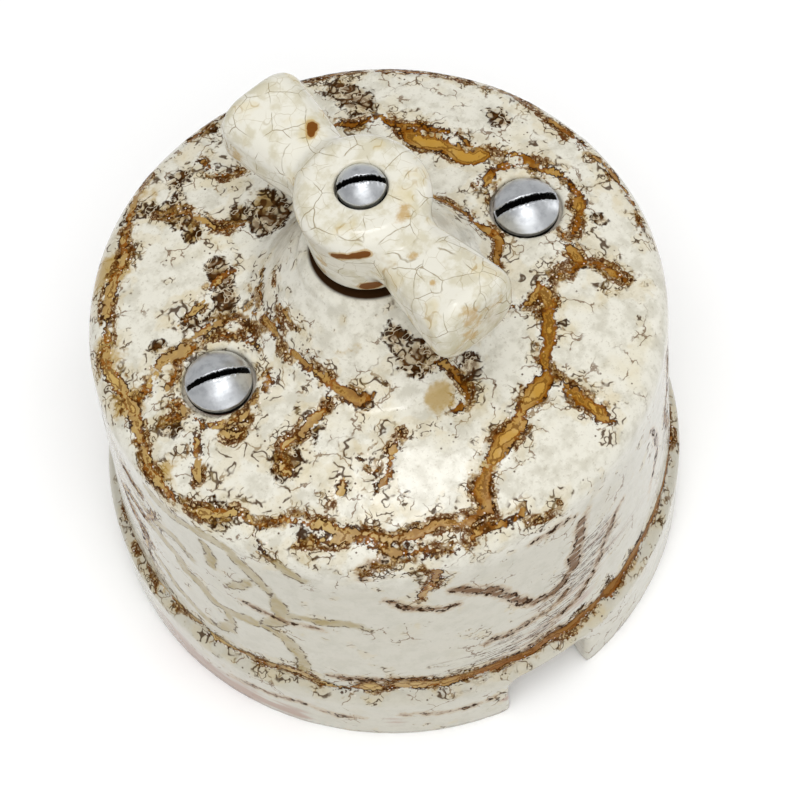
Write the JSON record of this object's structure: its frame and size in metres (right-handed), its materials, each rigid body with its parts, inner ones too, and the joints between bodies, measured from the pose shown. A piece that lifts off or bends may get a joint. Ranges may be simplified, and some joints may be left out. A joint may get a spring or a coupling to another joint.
{
  "type": "ceramic rotary wall switch",
  "caption": "Round surface-mounted crackle-glazed ceramic wall switch with a two-armed turn knob, slotted cover screws and a cable notch in its skirt.",
  "frame": {"origin": "centre of the back, the face that lies on the wall", "axes": "+Z out of the wall along the knob's spindle, the cover screws on X, the cable notch facing -Y"},
  "size_m": [0.07, 0.07, 0.0675],
  "materials": {
    "glaze_cover": "gloss crackle glaze with ochre veins",
    "glaze_knob": "ivory gloss glaze with fine crackle",
    "steatite": "unglazed technical ceramic",
    "bright_steel": "polished, nickel plated",
    "zinc_steel": "zinc plated, satin",
    "spring_steel": "blued strip",
    "brass": "machined, satin",
    "bronze": "phosphor bronze strip",
    "silver": "silver contact metal",
    "cam_plastic": "brown phenolic moulding",
    "fibre": "vulcanised fibre"
  },
  "bodies": {
    "body": {"cover": "glaze_cover", "base_plate": "steatite", "lower_pillars": "brass", "upper_pillars": "brass", "pillar_base_screws": "zinc_steel", "bridge_plate": "zinc_steel", "spring_pins": "zinc_steel", "detent_spring_upper": "spring_steel", "detent_spring_lower": "spring_steel", "bearing_bush": "brass", "lower_bush": "brass", "strip_rivets": "brass", "fixed_contact_tips": "silver", "terminal_screws": "zinc_steel", "cover_screw_washers": "fibre", "cover_screws": "bright_steel", "terminal_block_1": "brass", "contact_strip_1": "brass", "terminal_block_2": "brass", "contact_strip_2": "brass", "terminal_block_3": "brass", "contact_strip_3": "brass", "terminal_block_4": "brass", "contact_strip_4": "brass"},
    "turning_parts": {"spindle": "zinc_steel", "thrust_washer": "zinc_steel", "retaining_ring": "spring_steel", "rotor": "steatite", "detent_cam": "cam_plastic", "contact_springs": "spring_steel", "knob": "glaze_knob", "knob_insert": "brass", "knob_screw_washer": "fibre", "knob_screw": "bright_steel"},
    "contact_carriage": {"moving_contact": "bronze", "moving_contact_tips": "silver"}
  },
  "joints": [
    {"name": "knob_turn", "type": "hinge", "parent": "body", "child": "turning_parts", "pos_m": [0, 0, 0.04], "axis": [0, 0, 1], "continuous": true, "deforming": ["detent_spring_upper", "detent_spring_lower"]},
    {"name": "contact_float", "type": "slide", "parent": "turning_parts", "child": "contact_carriage", "axis": [0, 0, 1], "range_m": [0, 0.0004], "stiffness_N_per_m": 800, "springref_m": -0.002, "deforming": ["contact_springs"]}
  ]
}
